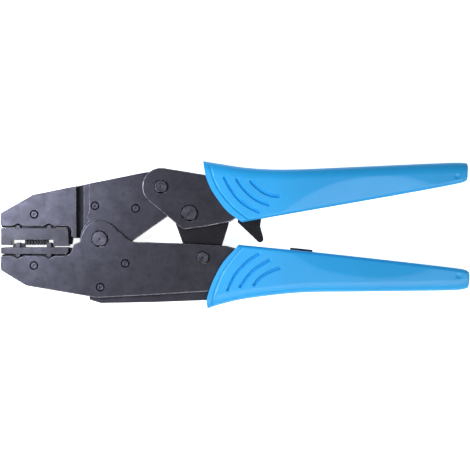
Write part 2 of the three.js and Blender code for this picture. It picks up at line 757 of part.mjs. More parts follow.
// The sleeve's outer skin: the sections joined from the front to the tail, with both ends closed.
function gripSkin({ front, bottom, top, bottomEdge, topEdge }) {
  const edges = { front: spline(front), bottom: spline(bottom), top: spline(top) };
  const grip = { ...edges, bottomEdge, topEdge };
  const sections = Array.from({ length: GRIP.stations + 1 }, (_, i) =>
    gripSection(grip, (1 - Math.cos((Math.PI * i) / GRIP.stations)) / 2),
  );
  const around = sections[0].length;
  const faces = [];
  for (let i = 0; i < GRIP.stations; i++) {
    for (let j = 0; j < around; j++) {
      const next = (j + 1) % around;
      faces.push([i * around + j, (i + 1) * around + next, i * around + next]);
      faces.push([i * around + j, (i + 1) * around + j, (i + 1) * around + next]);
    }
  }
  const last = GRIP.stations * around;
  for (let j = 0; j + 1 < around / 2; j++) {
    const mate = around - 1 - j;
    faces.push([j, mate - 1, mate], [j, j + 1, mate - 1]);
    faces.push([last + j, last + mate - 1, last + j + 1], [last + j, last + mate, last + mate - 1]);
  }
  const geometry = new THREE.BufferGeometry();
  geometry.setAttribute("position", new THREE.Float32BufferAttribute(sections.flat(2), 3));
  geometry.setIndex(faces.flat());
  return geometry;
}

function cavity(discs, half) {
  return extrude(belt(grown(discs, GRIP.wallGap)), -half, half);
}

// The upper sleeve also leaves room for the ratchet's teeth to pass, and for the lever.
function upperGrip(group) {
  const sweepHalf = SPACER + 0.1;
  const slotHalf = CORE + 0.3;
  const sweep = extrude(circle(LINK_UPPER_PIVOT, TOOTH.crest + 0.7, 48), -sweepHalf, sweepHalf);
  const leverSlot = box(58, 4, -slotHalf, 80.5, 15, slotHalf);
  const sleeve = cut(
    gripSkin(UPPER_GRIP),
    cavity(HANDLE_PLATE, GRIP.cavityHalf),
    cavity(HANDLE_CORE, GRIP.coreHalf),
    sweep,
    leverSlot,
  );
  piece(group, "upper_grip", sleeve, BLUE_PLASTIC);
}

// The pad that the upper handle's tang comes down on, set into the lower grip's top edge.
const STOP = { x: 94.6, y: -5.5, length: 10.4, height: 1.7, slope: -6, half: 4 };

function stopBlock(grow) {
  const length = STOP.length + 2 * grow;
  const geometry = new THREE.BoxGeometry(length, STOP.height + 2 * grow, 2 * (STOP.half + grow));
  return geometry.rotateZ(THREE.MathUtils.degToRad(STOP.slope)).translate(STOP.x, STOP.y, 0);
}

function lowerGrip(group) {
  const sleeve = cut(
    gripSkin(LOWER_GRIP),
    cavity([...LOWER_TANG, [44, -3, 0], [44, -25, 0]], GRIP.cavityHalf),
    cavity([[26.3, -29.2, 0.5], ...LOWER_CORE_TANG, [30, -20.6, 0]], GRIP.coreHalf),
    stopBlock(0.15),
  );
  piece(group, "lower_grip", sleeve, BLUE_PLASTIC);
  piece(group, "handle_stop", stopBlock(0), BLACK_RUBBER);
}

// ---- The assembly ----

function lowerFrame() {
  const group = new THREE.Group();
  lowerFramePlates(group);
  lowerFrameCore(group);
  lowerDie(group);
  posts(group, "lower_die_post", ...LOWER_POST);
  nestRails(group);
  rivet(group, "lower_die_rivet", LOWER_DIE_RIVET, OUTER[1]);
  LOWER_RIVETS.forEach((place, i) => rivet(group, `lower_frame_rivet_${i + 1}`, place, OUTER[1]));
  LOWER_TANG_RIVETS.forEach((place, i) => tangPin(group, `lower_tang_rivet_${i + 1}`, place, OUTER[1]));
  pivotPin(group, "main_pivot_pin", MAIN_PIVOT, MAIN_PIN_R, 0.5);
  retainingRing(group, "main_pivot_ring", MAIN_PIVOT, MAIN_PIN_R);
  pivotPin(group, "link_lower_pin", LINK_LOWER_PIVOT, LINK_LOWER_PIN_R, 0.4);
  retainingRing(group, "link_lower_ring", LINK_LOWER_PIVOT, LINK_LOWER_PIN_R);
  pin(group, "spring_anchor_pin", SPRING_ANCHOR, DOWEL_R, OUTER[0] - 0.02);
  returnSpring(group);
  lowerGrip(group);
  return group;
}

function upperJaw() {
  const group = new THREE.Group();
  jawPlates(group);
  cheeks(group);
  upperDie(group);
  posts(group, "upper_die_post", ...UPPER_POST);
  punches(group);
  rivet(group, "upper_die_rivet", UPPER_DIE_RIVET, CHEEK[1]);
  JAW_RIVETS.forEach((place, i) => rivet(group, `upper_jaw_rivet_${i + 1}`, place, SIDE[1]));
  return group;
}

function upperHandle() {
  const group = new THREE.Group();
  handlePlates(group);
  HANDLE_RIVETS.forEach((place, i) => tangPin(group, `handle_rivet_${i + 1}`, place, OUTER[1]));
  pivotPin(group, "handle_pivot_pin", HANDLE_PIVOT, HANDLE_PIN_R, 0.8);
  retainingRing(group, "handle_pivot_ring", HANDLE_PIVOT, HANDLE_PIN_R);
  pivotPin(group, "link_upper_pin", LINK_UPPER_PIVOT, LINK_UPPER_PIN_R, 0.6);
  retainingRing(group, "link_upper_ring", LINK_UPPER_PIVOT, LINK_UPPER_PIN_R);
  pin(group, "pawl_pin", PAWL_PIVOT, PAWL_PIN_R, OUTER[1]);
  pin(group, "pawl_spring_post", SPRING_POST, DOWEL_R, OUTER[0] - 0.02);
  pawlSpring(group);
  upperGrip(group);
  return group;
}

function toggleLink() {
  const group = new THREE.Group();
  linkPlates(group);
  ratchetSector(group);
  LINK_RIVETS.forEach((place, i) => tangPin(group, `link_rivet_${i + 1}`, place, LINK[1]));
  pin(group, "link_spring_pin", LINK_SPRING_PIN, DOWEL_R, LINK[0] - 0.02);
  return group;
}

function releasePawl() {
  const group = new THREE.Group();
  pawl(group);
  return group;
}

const tool = new THREE.Group();
tool.add(lowerFrame(), upperJaw(), upperHandle(), toggleLink(), releasePawl());
tool.position.z = MID;

export default tool;
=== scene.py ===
"""The looks of a ratchet crimping tool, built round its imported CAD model.

Sizes are written in millimetres and times MM, and the tool lies face up on the floor at z = 0."""

import json
import math

import bpy
import numpy as np
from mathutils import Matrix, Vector


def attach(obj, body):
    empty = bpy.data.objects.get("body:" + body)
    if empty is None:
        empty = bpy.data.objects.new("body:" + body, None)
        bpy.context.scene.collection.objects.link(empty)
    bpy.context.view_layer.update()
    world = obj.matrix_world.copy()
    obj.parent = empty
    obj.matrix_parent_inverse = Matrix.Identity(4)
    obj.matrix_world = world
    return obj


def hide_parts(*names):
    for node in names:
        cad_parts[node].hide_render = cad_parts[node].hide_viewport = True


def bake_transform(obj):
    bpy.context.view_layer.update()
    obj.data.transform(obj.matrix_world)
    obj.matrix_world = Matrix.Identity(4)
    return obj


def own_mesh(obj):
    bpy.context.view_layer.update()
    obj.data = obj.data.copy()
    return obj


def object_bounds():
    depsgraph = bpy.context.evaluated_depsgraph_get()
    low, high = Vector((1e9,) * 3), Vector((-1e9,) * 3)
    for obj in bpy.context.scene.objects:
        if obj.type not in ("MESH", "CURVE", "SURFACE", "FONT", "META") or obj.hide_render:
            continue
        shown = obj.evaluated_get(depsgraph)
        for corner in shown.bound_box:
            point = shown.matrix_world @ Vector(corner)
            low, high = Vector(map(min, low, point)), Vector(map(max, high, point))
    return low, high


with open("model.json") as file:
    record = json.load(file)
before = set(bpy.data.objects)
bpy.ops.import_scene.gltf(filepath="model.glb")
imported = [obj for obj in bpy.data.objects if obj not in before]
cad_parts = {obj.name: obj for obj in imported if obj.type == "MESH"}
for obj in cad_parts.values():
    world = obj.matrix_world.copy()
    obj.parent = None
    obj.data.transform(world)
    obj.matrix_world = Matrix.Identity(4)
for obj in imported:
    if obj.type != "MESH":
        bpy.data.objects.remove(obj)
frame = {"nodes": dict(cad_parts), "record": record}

MM = 0.001
NODES = frame["nodes"]
CAD_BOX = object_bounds()
MID = (CAD_BOX[0].z + CAD_BOX[1].z) / 2 / MM  # height of the tool's mid-plane

# ---- Camera, light and floor ----

VIEW_CENTRE = (63.4, 1.8)  # what the picture's middle looks at
VIEW_WIDTH = 220.9  # what the picture's width takes in, at VIEW_HEIGHT above the floor
VIEW_HEIGHT = 12
LENS = 150
SENSOR = 36


def add_camera():
    data = bpy.data.cameras.new("camera")
    data.lens = LENS
    data.sensor_width = SENSOR
    data.clip_end = 20
    camera = bpy.data.objects.new("camera", data)
    distance = VIEW_WIDTH * LENS / SENSOR
    camera.location = Vector((*VIEW_CENTRE, VIEW_HEIGHT + distance)) * MM
    bpy.context.scene.collection.objects.link(camera)
    bpy.context.scene.camera = camera


ROOM_LIGHT = 0.13
ROOM_SHOWN = 0.95
COOL_WHITE = (0.92, 0.97, 1.1)
WHITE = (1, 1, 1)
LIGHTS = {  # name: place, target, size, power in watts, colour, spread in degrees
    "key": ((-78, 34, 170), (-38, 12, 10), (70, 70), 0.165, COOL_WHITE, 110),
    "rim": ((-360, -150, 170), (0, 0, 10), (300, 220), 1.05, WHITE, 180),
    "fill": ((230, -400, 560), (110, 0, 0), (600, 400), 1.9, WHITE, 180),
    "gloss": ((185, -130, 460), (150, 10, 10), (220, 70), 0.075, WHITE, 60),
}


def add_softbox(name, place, target, size, power, colour, spread):
    data = bpy.data.lights.new(name, "AREA")
    data.shape = "RECTANGLE"
    data.size, data.size_y = size[0] * MM, size[1] * MM
    data.energy = power
    data.color = colour
    data.spread = math.radians(spread)
    light = bpy.data.objects.new(name, data)
    light.location = Vector(place) * MM
    aim = (Vector(target) - Vector(place)).to_track_quat("-Z", "Y")
    light.rotation_mode = "QUATERNION"
    light.rotation_quaternion = aim
    bpy.context.scene.collection.objects.link(light)


def add_world(strength, shown):
    """An even white room, which lights the tool by strength and shows behind it as bright as shown."""
    world = bpy.data.worlds.new("studio")
    world.use_nodes = True
    tree = world.node_tree
    light = tree.nodes["Background"]
    light.inputs["Color"].default_value = (*WHITE, 1)
    ray = tree.nodes.new("ShaderNodeLightPath")
    choice = tree.nodes.new("ShaderNodeMapRange")
    choice.inputs["To Min"].default_value = strength
    choice.inputs["To Max"].default_value = shown
    tree.links.new(ray.outputs["Is Camera Ray"], choice.inputs["Value"])
    tree.links.new(choice.outputs[0], light.inputs["Strength"])
    bpy.context.scene.world = world


def add_floor():
    """A plain white floor, bright enough that the tool's shadow on it stays faint."""
    half = 3000 * MM
    corners = [(-half, -half, 0), (half, -half, 0), (half, half, 0), (-half, half, 0)]
    mesh = bpy.data.meshes.new("floor")
    mesh.from_pydata(corners, [], [(0, 1, 2, 3)])
    floor = bpy.data.objects.new("floor", mesh)
    floor.location.z = -0.05 * MM
    bpy.context.scene.collection.objects.link(floor)
    material = bpy.data.materials.new("floor_white")
    material.use_nodes = True
    shader = material.node_tree.nodes["Principled BSDF"]
    shader.inputs["Base Color"].default_value = (0.9, 0.9, 0.9, 1)
    shader.inputs["Roughness"].default_value = 0.9
    shader.inputs["Specular IOR Level"].default_value = 0.1
    shader.inputs["Emission Color"].default_value = (1, 1, 1, 1)
    shader.inputs["Emission Strength"].default_value = 0.9
    mesh.materials.append(material)


# ---- Materials ----


class Graph:
    """A material's node tree. Call it with a node type, its settings and its inputs.
    An input is named with _ for a space, or is i and its number."""

    def __init__(self, name):
        self.material = bpy.data.materials.new(name)
        self.material.use_nodes = True
        self.tree = self.material.node_tree
        self.shader = self.tree.nodes["Principled BSDF"]
        self.place = self("ShaderNodeTexCoord").outputs["Object"]

    def __call__(self, kind, settings=None, **inputs):
        made = self.tree.nodes.new(kind)
        for key, value in (settings or {}).items():
            setattr(made, key, value)
        for key, value in inputs.items():
            self.set(made, key.replace("_", " "), value)
        return made

    def set(self, node, key, value):
        socket = node.inputs[int(key[1:])] if key[0] == "i" and key[1:].isdigit() else node.inputs[key]
        if isinstance(value, bpy.types.NodeSocket):
            self.tree.links.new(value, socket)
        else:
            socket.default_value = value

    def noise(self, size, detail=2.0, stretch=(1, 1, 1), distortion=0.0):
        """Noise whose blobs are about size mm across, drawn out along an axis by a stretch below 1."""
        scaled = self("ShaderNodeMapping", Vector=self.place, Scale=stretch)
        made = self("ShaderNodeTexNoise", Vector=scaled.outputs[0], Scale=1 / (size * MM))
        made.inputs["Detail"].default_value = detail
        made.inputs["Distortion"].default_value = distortion
        return made.outputs["Fac"]

    def ramp(self, value, low, high, to_low=0.0, to_high=1.0):
        made = self("ShaderNodeMapRange", Value=value)
        limits = {"From Min": low, "From Max": high, "To Min": to_low, "To Max": to_high}
        for key, number in limits.items():
            made.inputs[key].default_value = number
        return made.outputs[0]

    def math(self, operation, first, second):
        return self("ShaderNodeMath", {"operation": operation}, i0=first, i1=second).outputs[0]

    def mix(self, share, first, second):
        made = self("ShaderNodeMix", {"data_type": "RGBA"})
        for index, value in ((0, share), (6, first), (7, second)):
            self.set(made, f"i{index}", value)
        return made.outputs[2]

    def bump(self, height, depth, below=None):
        """Raises the surface by height times depth mm, over an earlier bump if there is one."""
        made = self("ShaderNodeBump", Height=height, Distance=depth * MM)
        if below is not None:
            self.set(made, "Normal", below)
        return made.outputs[0]

    def finish(self, **inputs):
        for key, value in inputs.items():
            self.set(self.shader, key.replace("_", " "), value)
        return self.material


def rgb(red, green, blue):
    """An sRGB colour of 0 to 255 as a linear one."""
    def linear(value):
        share = value / 255
        return share / 12.92 if share <= 0.04045 else ((share + 0.055) / 1.055) ** 2.4
    return (linear(red), linear(green), linear(blue), 1.0)


def scaled(colour, factor):
    return (*(factor * c for c in colour[:3]), 1.0)


BARE_STEEL = rgb(150, 149, 158)
PAINTED_SHADE_LEFT = 0.08  # how much of a colour is left where shade is painted
RINGS = 26.0  # turning marks, in radians for each millimetre of radius


def oxide_steel(
    name, colour, roughness, metallic=0.75, wear=0.0,
    grain=1.0, lines=0.008, brushed=(1, 1, 1), shaded_above=None,
):
    """Blackened steel: cloudy oxide, fine grain, rolling or grinding lines, and bare metal where it
    is worn. It is darkened with painted shade where Y is above the given height in mm."""
    g = Graph(name)
    cloud = g.noise(7, 4, distortion=0.4)
    grains = g.noise(0.32, 3)
    scratches = g.noise(0.25, 2, stretch=brushed)
    specks = g.ramp(g.noise(0.7, 5), 0.66, 0.74)
    tint = g.mix(g.ramp(cloud, 0.3, 0.7), scaled(colour, 0.76), scaled(colour, 1.26))
    tint = g.mix(g.math("MULTIPLY", g.ramp(g.noise(2.2, 4), 0.5, 0.72), 0.5), tint, scaled(colour, 0.55))
    tint = g.mix(g.math("MULTIPLY", specks, 0.3), tint, scaled(colour, 2.2))
    bare = g.ramp(g.noise(1.6, 4), 0.62 - 0.5 * wear, 0.8 - 0.4 * wear)
    tint = g.mix(g.math("MULTIPLY", bare, wear), tint, BARE_STEEL)
    rough = g.ramp(grains, 0.3, 0.7, roughness - 0.07, roughness + 0.08)
    rough = g.math("SUBTRACT", rough, g.ramp(cloud, 0.35, 0.7, 0.0, 0.06))
    normal = g.bump(grains, 0.02 * grain)
    normal = g.bump(scratches, lines, normal)
    # Painted shade: above a height in Y the colour is darkened towards black.
    if shaded_above is not None:
        across = g("ShaderNodeSeparateXYZ", Vector=g.place).outputs["Y"]
        grime = g.ramp(across, (shaded_above - 1) * MM, shaded_above * MM)
        tint = g.mix(grime, tint, scaled(colour, PAINTED_SHADE_LEFT))
    return g.finish(Base_Color=tint, Metallic=metallic, Roughness=rough, Normal=normal)


def turned_steel(name, colour, roughness):
    """Steel faced on a lathe: rings about each piece's own axis, from the radius stored on its mesh."""
    g = Graph(name)
    radius = g("ShaderNodeAttribute", {"attribute_name": "radius_mm"}).outputs["Fac"]
    waver = g.math("MULTIPLY", g.noise(2.5, 2), 0.12)
    rings = g.math("SINE", g.math("MULTIPLY", g.math("ADD", radius, waver), RINGS), 0.0)
    cloud = g.noise(1.8, 4)
    tint = g.mix(g.ramp(cloud, 0.3, 0.7), scaled(colour, 0.75), scaled(colour, 1.3))
    # Painted shade: the points marked on the mesh, round a pin's head and in the ring round a rivet's
    # head, are darkened.
    grime = g("ShaderNodeAttribute", {"attribute_name": "grime"}).outputs["Fac"]
    tint = g.mix(grime, tint, scaled(colour, PAINTED_SHADE_LEFT))
    normal = g.bump(g.noise(0.25, 2), 0.02, g.bump(rings, 0.006))
    rough = g.ramp(cloud, 0.3, 0.7, roughness - 0.06, roughness + 0.08)
    return g.finish(Base_Color=tint, Metallic=0.8, Roughness=rough, Normal=normal)


def moulded_plastic(name, colour, roughness):
    """Semi-gloss moulded plastic with a faint orange peel and a slightly uneven colour."""
    g = Graph(name)
    cloud = g.noise(24, 3)
    peel = g.noise(0.9, 2)
    pores = g.noise(0.22, 2)
    tint = g.mix(g.ramp(cloud, 0.3, 0.7), scaled(colour, 0.95), scaled(colour, 1.04))
    rough = g.ramp(pores, 0.3, 0.7, roughness - 0.05, roughness + 0.07)
    normal = g.bump(peel, 0.012, g.bump(pores, 0.006))
    return g.finish(Base_Color=tint, Roughness=rough, Normal=normal)


def rubber(name, colour):
    """Dull rubber with a fine grain."""
    g = Graph(name)
    grains = g.noise(0.4, 4)
    tint = g.mix(g.ramp(grains, 0.35, 0.7), scaled(colour, 0.7), scaled(colour, 1.5))
    rough = g.ramp(grains, 0.3, 0.7, 0.68, 0.85)
    return g.finish(Base_Color=tint, Roughness=rough, Normal=g.bump(grains, 0.04))


OXIDE = rgb(54, 53, 61)
DIE = rgb(48, 47, 53)
DARK = rgb(30, 29, 34)
PIN = rgb(65, 64, 72)
WIRE = rgb(150, 148, 150)
BLUE = rgb(35, 164, 231)
BLACK = rgb(24, 24, 26)
EDGE_WEAR_AND_HIGHLIGHT = 1.9  # how much paler a rounded edge is than its face: partly wear, partly a painted highlight

MATERIALS = {
    "black_oxide_steel": oxide_steel("black_oxide_steel", OXIDE, 0.46, brushed=(0.04, 1, 1)),
    "die_steel": oxide_steel("die_steel", DIE, 0.44, lines=0.03, brushed=(1, 0.04, 1)),
    "dark_steel": oxide_steel("dark_steel", DARK, 0.52),
    "pin_steel": turned_steel("pin_steel", PIN, 0.4),
    "spring_steel": oxide_steel("spring_steel", WIRE, 0.3, metallic=1.0, grain=0.3),
    "blue_grip": moulded_plastic("blue_grip", BLUE, 0.42),
    "black_rubber": rubber("black_rubber", BLACK),
}
# The frame's core is darkened with painted shade under the die, for the shadow in the gap there, and
# left clear along its lower edge.
CORE_STEEL = oxide_steel("core_steel", OXIDE, 0.46, brushed=(0.04, 1, 1), shaded_above=-12)
WORN_AND_HIGHLIT_EDGES = {  # what the rounded edges of each steel turn to: paler, partly with wear and partly as a painted highlight
    "black_oxide_steel": oxide_steel("oxide_edge", scaled(OXIDE, EDGE_WEAR_AND_HIGHLIGHT), 0.38, wear=0.6),
    "die_steel": oxide_steel("die_edge", scaled(DIE, 1.2), 0.38, wear=0.5),
    "dark_steel": oxide_steel("dark_edge", scaled(DARK, 1.5), 0.44, wear=0.3),
}

# ---- Finishing the CAD solids ----

BEVELS = {  # width of the rounded edges, by the first words of a node's name
    "lower_frame_plate": 0.42,
    "upper_handle_plate": 0.42,
    "toggle_link": 0.3,
    "upper_jaw_inner": 0.25,
    "upper_jaw_side": 0.25,
    "nose_cheek": 0.3,
    "lower_die_post": 0.1,
    "lower_die": 0.25,
    "upper_die_post": 0.1,
    "upper_die": 0.25,
    "nest_rail": 0.15,
    "contact_punch": 0.06,
    "strain_relief_bar": 0.2,
    "release_pawl": 0.3,
    "handle_stop": 0.3,
}
SMOOTH_BELOW = math.radians(38)  # edges sharper than this are shaded sharp
LEVEL = 0.99999  # a face whose normal's Z is above this is level, and shaded flat
ROUND_ABOVE = math.radians(55)  # only edges sharper than this are rounded, so countersinks stay crisp


def smooth_group():
    """Shades a mesh smooth except at its sharp edges and on its level faces."""
    group = bpy.data.node_groups.new("smooth_by_angle", "GeometryNodeTree")
    group.interface.new_socket("Geometry", in_out="INPUT", socket_type="NodeSocketGeometry")
    group.interface.new_socket("Geometry", in_out="OUTPUT", socket_type="NodeSocketGeometry")
    start = group.nodes.new("NodeGroupInput")
    angle = group.nodes.new("GeometryNodeInputMeshEdgeAngle")
    soft = group.nodes.new("FunctionNodeCompare")
    soft.operation = "LESS_THAN"
    soft.inputs[1].default_value = SMOOTH_BELOW
    facing = group.nodes.new("GeometryNodeInputNormal")
    upright = group.nodes.new("ShaderNodeSeparateXYZ")
    steep = group.nodes.new("ShaderNodeMath")
    steep.operation = "ABSOLUTE"
    curved = group.nodes.new("FunctionNodeCompare")
    curved.operation = "LESS_THAN"
    curved.inputs[1].default_value = LEVEL
    faces = group.nodes.new("GeometryNodeSetShadeSmooth")
    edges = group.nodes.new("GeometryNodeSetShadeSmooth")
    edges.domain = "EDGE"
    end = group.nodes.new("NodeGroupOutput")
    group.links.new(start.outputs[0], faces.inputs[0])
    group.links.new(facing.outputs[0], upright.inputs[0])
    group.links.new(upright.outputs["Z"], steep.inputs[0])
    group.links.new(steep.outputs[0], curved.inputs[0])
    group.links.new(curved.outputs[0], faces.inputs["Shade Smooth"])
    group.links.new(faces.outputs[0], edges.inputs[0])
    group.links.new(angle.outputs[0], soft.inputs[0])
    group.links.new(soft.outputs[0], edges.inputs["Shade Smooth"])
    group.links.new(edges.outputs[0], end.inputs[0])
    return group


SMOOTH = smooth_group()


def shade(piece):
    piece.modifiers.new("smooth", "NODES").node_group = SMOOTH
    weighted = piece.modifiers.new("normals", "WEIGHTED_NORMAL")
    weighted.keep_sharp = True
    weighted.weight = 60


WELD_WITHIN = 0.002
FLAT_WITHIN = math.radians(0.5)  # triangles this close to one plane are joined


def bevel_width(name):
    return next((width for start, width in BEVELS.items() if name.startswith(start)), 0)


def finish_solid(name, slot):
    """Joins a CAD node's triangles into flat faces and rounds its edges, by modifiers only.
    A rounded edge takes the last of the node's materials, which is paler, partly worn and partly a
    painted highlight."""
    piece = NODES[name]
    materials = [MATERIALS[slot]] + ([WORN_AND_HIGHLIT_EDGES[slot]] if slot in WORN_AND_HIGHLIT_EDGES else [])
    if name == "lower_frame_core":
        materials = [CORE_STEEL]
    piece.data.materials.clear()
    for material in materials:
        piece.data.materials.append(material)
    weld = piece.modifiers.new("weld", "WELD")
    weld.merge_threshold = WELD_WITHIN * MM
    flat = piece.modifiers.new("flat", "DECIMATE")
    flat.decimate_type = "DISSOLVE"
    flat.angle_limit = FLAT_WITHIN
    corners = piece.modifiers.new("corners", "TRIANGULATE")
    corners.min_vertices = 5
    corners.ngon_method = "BEAUTY"
    width = bevel_width(name)
    if width:
        bevel = piece.modifiers.new("edges", "BEVEL")
        bevel.width = width * MM
        bevel.segments = 2
        bevel.limit_method = "ANGLE"
        bevel.angle_limit = ROUND_ABOVE
        bevel.use_clamp_overlap = False
        bevel.loop_slide = False
        bevel.miter_outer = "MITER_ARC"
        bevel.material = len(materials) - 1
    shade(piece)


# ---- Making meshes ----


def add_mesh(name, points, faces, slot):
    """A new piece from points in millimetres, measured from the tool's mid-plane."""
    mesh = bpy.data.meshes.new(name)
    placed = (np.asarray(points, float) + (0, 0, MID)) * MM
    mesh.from_pydata(placed.tolist(), [], faces)
    mesh.materials.append(MATERIALS[slot])
    piece = bpy.data.objects.new(name, mesh)
    bpy.context.scene.collection.objects.link(piece)
    return piece


def prism(outline, half):
    """Points and faces of a flat outline, run anticlockwise, carried from -half to half."""
    n = len(outline)
    points = [(x, y, z) for z in (-half, half) for x, y in outline]
    sides = [(i, (i + 1) % n, n + (i + 1) % n, n + i) for i in range(n)]
    return points, [tuple(reversed(range(n))), tuple(range(n, 2 * n)), *sides]


def loft(count, around):
    """Faces that join count closed loops of around points one after another, without the ends."""
    faces = []
    for i in range(count - 1):
        this, after = i * around, (i + 1) * around
        for j in range(around):
            k = (j + 1) % around
            faces.append((this + j, after + j, after + k, this + k))
    return faces


def evaluated_copy(piece):
    """The piece's mesh with its modifiers applied."""
    graph = bpy.context.evaluated_depsgraph_get()
    return bpy.data.meshes.new_from_object(piece.evaluated_get(graph), depsgraph=graph)


def carve(piece, cutters):
    """Cuts each (points, faces) solid out of the piece."""
    tools = []
    for points, faces in cutters:
        tool = add_mesh("cutter", points, faces, "blue_grip")
        cut = piece.modifiers.new("cut", "BOOLEAN")
        cut.operation = "DIFFERENCE"
        cut.solver = "MANIFOLD"
        cut.object = tool
        tools.append(tool)
    piece.data = evaluated_copy(piece)
    piece.modifiers.clear()
    for tool in tools:
        bpy.data.objects.remove(tool)


# ---- Curves ----


class Spline:
    """A smooth curve through points, which is the same curve as the CAD model's."""

    SAMPLES = 600

    def __init__(self, points):
        known = np.array(points, float)
        last = len(known) - 1
        t = np.linspace(0, last, self.SAMPLES)
        i = np.minimum(t.astype(int), last - 1)
        w = (t - i)[:, None]
        before, start, end, after = (known[np.clip(i + k, 0, last)] for k in (-1, 0, 1, 2))
        v0, v1 = (end - before) / 2, (after - start) / 2
        cubic = (2 * start - 2 * end + v0 + v1) * w**3 + (-3 * start + 3 * end - 2 * v0 - v1) * w**2
        self.points = cubic + v0 * w + start
        steps = np.linalg.norm(np.diff(self.points, axis=0), axis=1)
        self.share = np.concatenate([[0], np.cumsum(steps)]) / steps.sum()

    def at(self, share):
        """The points at these shares of the curve's length."""
        return np.stack([np.interp(share, self.share, axis) for axis in self.points.T], -1)

    def polyline(self, count=40):
        return self.at(np.linspace(0, 1, count))


def signed_distance(place, line):
    """How far each place is from a polyline, above 0 on the left of its run."""
    best = np.full(len(place), np.inf)
    side = np.ones(len(place))
    for start, end in zip(line[:-1], line[1:]):
        run = end - start
        away = place - start
        along = np.clip(away @ run / (run @ run), 0, 1)
        gap = np.linalg.norm(away - along[:, None] * run, axis=1)
        nearer = gap < best - 1e-9
        best[nearer] = gap[nearer]
        side[nearer] = np.sign(run[0] * away[nearer, 1] - run[1] * away[nearer, 0])
    return best * side


def smooth_step(value):
    share = np.clip(value, 0, 1)
    return share * share * (3 - 2 * share)


# ---- Grips ----

GRIP_LENGTH = 115  # about, from front to tail
TAIL_ROUND = 1.8  # radius of the rounding of its tail
INNER_EDGE = (1.8, 1.8)  # the rounding towards the other handle: its width and its depth
OUTER_EDGE = (5.0, 3.6)
EDGE_SHARE = {INNER_EDGE: 0.2, OUTER_EDGE: 0.6}  # the most of a section's width that each may take
SEAM = 0.12  # how far the moulding seam stands out of the outer edge, and is sunk in the inner one
SEAM_HALF = 0.35  # half of its width
SEAM_SHARP = 1.6  # how steeply its flanks fall, as a share of their width
SEAM_STEPS = (0, 0.175, 0.35, 0.7)  # heights of the points that draw the seam on its half of a wall
SLOT_HALF = 0.85  # half of a slot's width at the surface
SLOT_WALL = 0.75  # width of a slot's sloping wall
SLOT_DEPTH = 1.15
GROOVE_HALF = 0.65  # half of the width of the groove behind the rim
GROOVE_WALL = 0.6
GROOVE_DEPTH = 0.4
RIM_STEP = 0.2  # how far the rim stands above the rest
RIM_WALL = 0.5
PAD_SLOPE = math.tan(math.radians(8))  # of the finger pad, which starts along the line "pad"
PAD_SOFTNESS = 0.5  # how gently it starts
DIMPLE_R = 1.5
DIMPLE_DEPTH = 0.35
FLAT_ROWS = 98  # how many points cross the flat of a section

UPPER_GRIP = {
    "front": [(66.9, 7.7), (60.1, 12.6), (55.7, 17.9), (51.8, 24.0), (49.5, 30.2), (48.4, 36.6)],
    "bottom": [(66.9, 7.7), (75.2, 9.3), (127.8, 18.5), (161.6, 24.6), (170.6, 26.6), (172.4, 28.3)],
    "top": [
        (48.4, 36.6), (57.3, 35.1), (70, 33.3), (88.3, 32.6),
        (122, 33.9), (156, 35.4), (170.8, 35.7), (172.5, 34.2),
    ],
    "edges": (INNER_EDGE, OUTER_EDGE),
    "rim": [
        (71.0, 8.3), (68.7, 10.0), (64.5, 13.1), (60.1, 17.4),
        (55.7, 23.2), (53.1, 28.9), (51.6, 34.5), (51.2, 37),
    ],
    "slots": [
        [(58.5, 28.6), (61.0, 24.0), (64.5, 19.2), (68.9, 15.5), (74.4, 12.7)],
        [(64.3, 27.8), (66.7, 24.3), (70.2, 20.7), (74.2, 17.9), (79.0, 16.0)],
        [(70.9, 26.9), (73.3, 24.3), (77.2, 21.6), (80.7, 20.3), (84.0, 20.0)],
    ],
    "pad": [(159.3, 24.1), (144.2, 28.7), (127.3, 29.1), (110.4, 26.2), (95.2, 19.0), (84.1, 11.2)],
    "dimple": (167.3, 29.2),
}
LOWER_GRIP = {
    "front": [(50.5, -32.8), (50.2, -28.5), (51.6, -23.4), (54.0, -17.7), (57.9, -10.9), (65.2, -2.8)],
    "bottom": [
        (50.5, -32.8), (57.3, -30.6), (70, -27.9), (94, -25.3),
        (122.2, -24.8), (161.6, -24.3), (171.4, -23.5), (173.2, -21.8),
    ],
    "top": [
        (65.2, -2.8), (77, -3.9), (99.6, -6.1), (133.4, -9.8),
        (164.5, -13.4), (171.6, -14.6), (173.3, -16.2),
    ],
    "edges": (OUTER_EDGE, INNER_EDGE),
    "rim": [
        (52.7, -33.5), (52.9, -30.6), (53.5, -26.5), (55.1, -21.6),
        (57.2, -16.8), (60.1, -12.2), (68, -2.5),
    ],
    "slots": [
        [(60.1, -23.8), (63.2, -17.2), (66.7, -13.1), (70.6, -9.5), (74.6, -7.1)],
        [(66.0, -22.3), (68.9, -18.1), (72.8, -14.0), (79.4, -10.0)],
        [(72.4, -21.4), (75.0, -18.3), (79.0, -15.7), (84.2, -13.6)],
    ],
    "pad": [
        (82.2, -5.0), (93.0, -8.5), (101.8, -13.3), (112.8, -16.3),
        (130.6, -18.2), (146.6, -16.5), (157.1, -12.9),
    ],
    "dimple": (168.0, -17.4),
}


SLOTS_END = 0.34  # shares of a grip's length
DIMPLE_START = 0.93
TAIL_START = 0.985


def stations():
    """Shares of a grip's length: close together at the slots, the dimple and the tail."""
    slots = np.arange(0, SLOTS_END, 0.26 / GRIP_LENGTH)
    handle = np.arange(SLOTS_END, DIMPLE_START, 1.1 / GRIP_LENGTH)
    dimple = np.arange(DIMPLE_START, TAIL_START, 0.4 / GRIP_LENGTH)
    tail = 1 - (1 - TAIL_START) * np.linspace(1, 0, 14) ** 2
    return np.concatenate([slots, handle, dimple, tail])


def rounding(width, depth, half, limit, count=9):
    """A quarter ellipse from a side wall up to the flat, as distances across and heights."""
    angle = np.linspace(0, math.pi / 2, count)
    across = min(width, limit)
    return across * (1 - np.cos(angle)), half - depth + depth * np.sin(angle)


